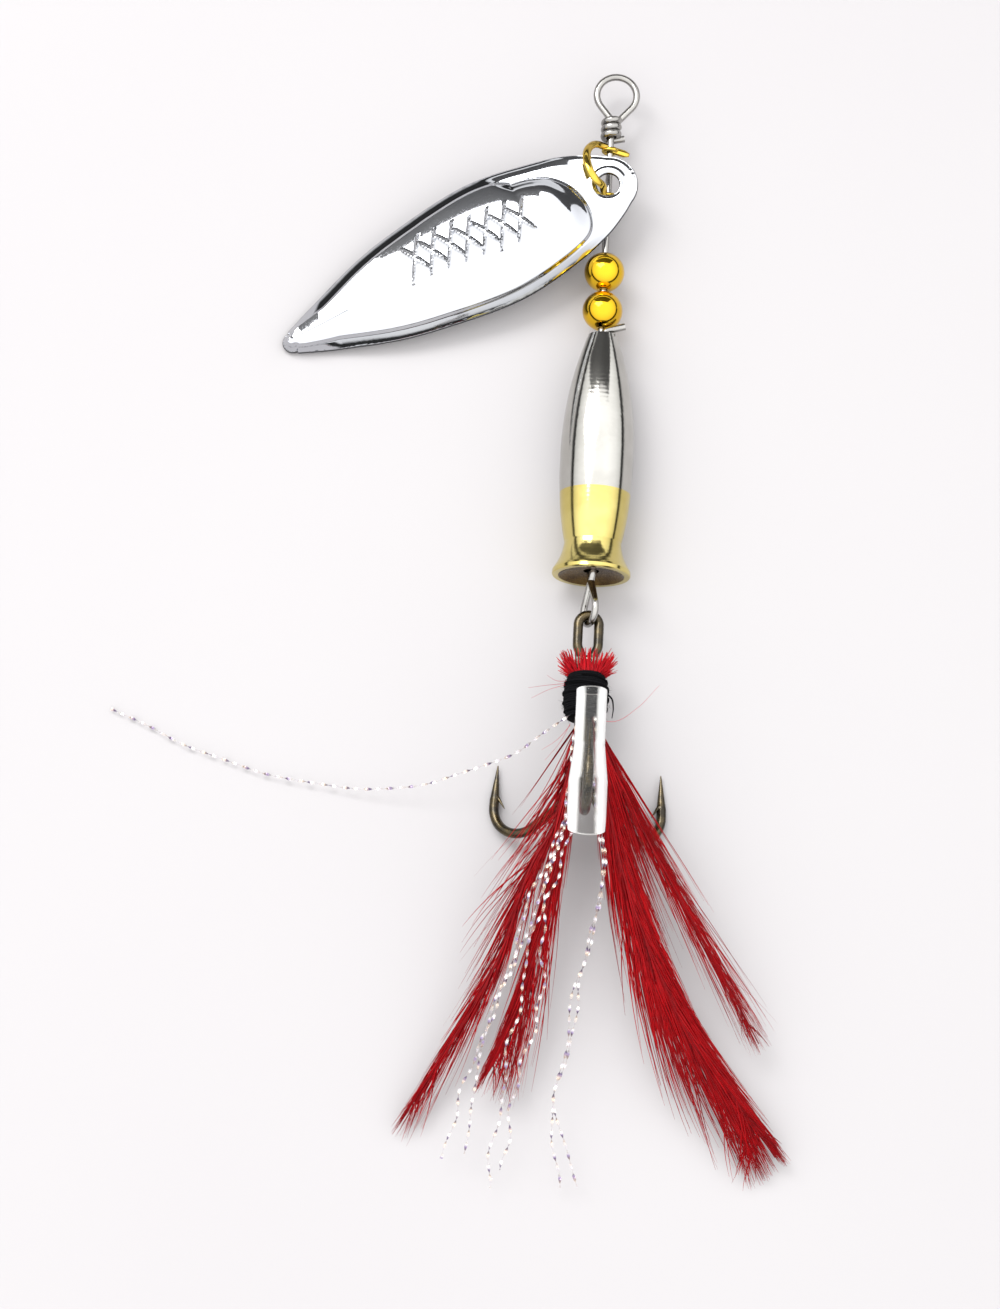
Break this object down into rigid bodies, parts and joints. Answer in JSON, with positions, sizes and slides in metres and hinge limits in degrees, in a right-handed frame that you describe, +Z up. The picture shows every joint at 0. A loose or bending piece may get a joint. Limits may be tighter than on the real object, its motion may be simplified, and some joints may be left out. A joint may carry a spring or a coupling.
{
  "type": "spinner lure",
  "caption": "In-line spinner lure: wire shaft, leaf blade on a clevis, beads, turned body and a feather-dressed treble hook",
  "frame": {"origin": "centre of the line eye, on the shaft's level", "axes": "+Y runs along the shaft to the line eye's end, +Z up from the surface the lure lies on, +X away from the blade"},
  "size_m": [0.0774, 0.128, 0.0193],
  "materials": {
    "wire": "drawn stainless wire",
    "blade": "bright plated, stamped",
    "brass": "polished",
    "head": "bright nickel plate",
    "hook": "bronze lacquered wire",
    "braze": "silver solder",
    "guard": "clear tube",
    "thread": "waxed tying thread",
    "feather": "dyed feather",
    "tinsel": "pearl foil strand"
  },
  "bodies": {
    "shaft": {"wire_shaft": "wire"},
    "clevis": {"clevis": "brass"},
    "blade": {"blade": "blade"},
    "upper_bead": {"upper_bead": "brass"},
    "lower_bead": {"lower_bead": "brass"},
    "weight": {"body_head": "head", "body_tail": "brass"},
    "hook": {"hook_double": "hook", "hook_single": "hook", "hook_braze": "braze", "thread_wrap": "thread", "feather_left_outer": "feather", "feather_left_inner": "feather", "feather_right_outer": "feather", "feather_right_inner": "feather", "feather_butts": "feather", "tinsel_left": "tinsel", "tinsel_middle": "tinsel", "tinsel_stray": "tinsel"},
    "guard": {"point_guard": "guard"}
  },
  "joints": [
    {"name": "clevis_spin", "type": "hinge", "parent": "shaft", "child": "clevis", "pos_m": [-0.00045, -0.00695, 0], "axis": [0, 1, 0], "continuous": true},
    {"name": "blade_swing", "type": "hinge", "parent": "clevis", "child": "blade", "pos_m": [-0.00129, -0.01229, 0.00179], "axis": [-0.4924, 0.8704, 0], "range_deg": [-5, 30]},
    {"name": "lower_bead_slide", "type": "slide", "parent": "shaft", "child": "lower_bead", "axis": [0, 1, 0], "range_m": [-0.0001, 0.0005]},
    {"name": "upper_bead_slide", "type": "slide", "parent": "lower_bead", "child": "upper_bead", "axis": [0, 1, 0], "range_m": [-0.00005, 0.0004]},
    {"name": "body_spin", "type": "hinge", "parent": "shaft", "child": "weight", "pos_m": [-0.0003, -0.04855, 0.0004], "axis": [0, 1, 0], "continuous": true},
    {"name": "hook_swing", "type": "hinge", "parent": "shaft", "child": "hook", "pos_m": [-0.0003, -0.06355, 0.0004], "axis": [0.342, 0, 0.9397], "range_deg": [-60, 60]},
    {"name": "guard_slide", "type": "slide", "parent": "hook", "child": "guard", "axis": [0, 0.998, -0.0632], "range_m": [0, 0.018]}
  ]
}
